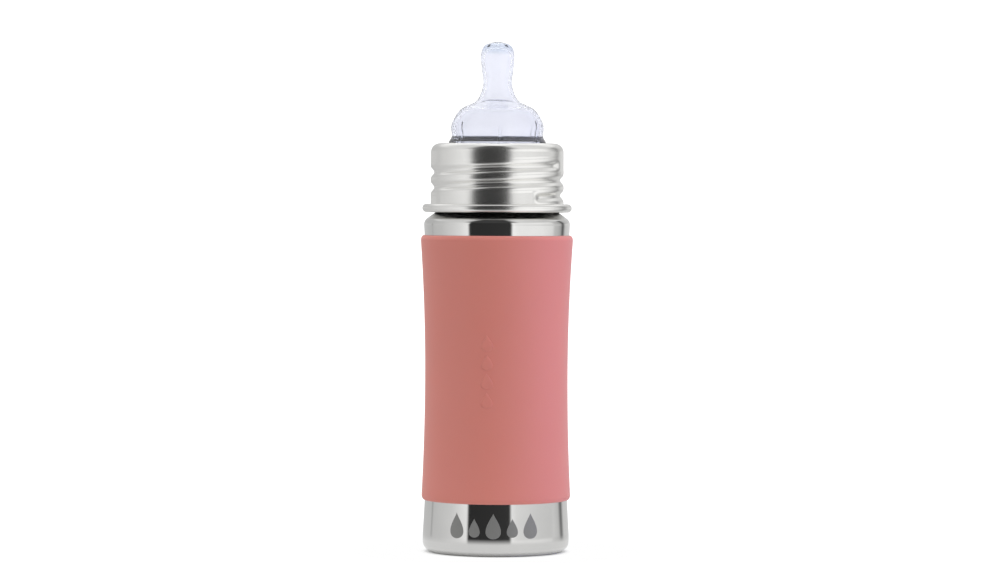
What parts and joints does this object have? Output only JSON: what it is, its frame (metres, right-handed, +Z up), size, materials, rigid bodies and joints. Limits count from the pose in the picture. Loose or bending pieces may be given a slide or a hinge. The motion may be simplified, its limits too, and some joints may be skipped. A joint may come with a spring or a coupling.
{
  "type": "baby bottle",
  "caption": "Upright single-wall steel feeding bottle with a waisted body, silicone grip sleeve, screw collar and one-piece silicone nipple.",
  "frame": {"origin": "centre of the standing ring, on the surface that the bottle stands on", "axes": "+Z up along the bottle's axis, towards the nipple's tip; -Y is the front; +X is to the right seen from the front"},
  "size_m": [0.0639, 0.064, 0.214],
  "materials": {
    "polished_steel": "mirror-polished stainless steel with fine drawing marks",
    "satin_steel": "satin stainless steel, finely brushed",
    "clear_silicone": "clear, slightly bluish, smooth silicone",
    "pink_silicone": "matte coral-pink silicone with a soft bloom"
  },
  "bodies": {
    "bottle": {"bottle_shell": "polished_steel", "base_disc": "polished_steel"},
    "nipple": {"nipple": "clear_silicone"},
    "collar": {"collar": "satin_steel"},
    "sleeve": {"sleeve": "pink_silicone"}
  },
  "joints": [
    {"name": "cap_lift", "type": "slide", "parent": "bottle", "child": "nipple", "axis": [0, 0, 1], "range_m": [0, 0.0129]},
    {"name": "collar_turn", "type": "hinge", "parent": "nipple", "child": "collar", "pos_m": [0, 0, 0.1556], "axis": [0, 0, 1], "range_deg": [0, 720]},
    {"name": "sleeve_slide", "type": "slide", "parent": "bottle", "child": "sleeve", "axis": [0, 0, 1], "range_m": [0, 0.214], "deforming": ["sleeve"]}
  ],
  "couplings": [
    {"joint": "cap_lift", "follows": "collar_turn", "m_per_rad": 0.0010186}
  ]
}
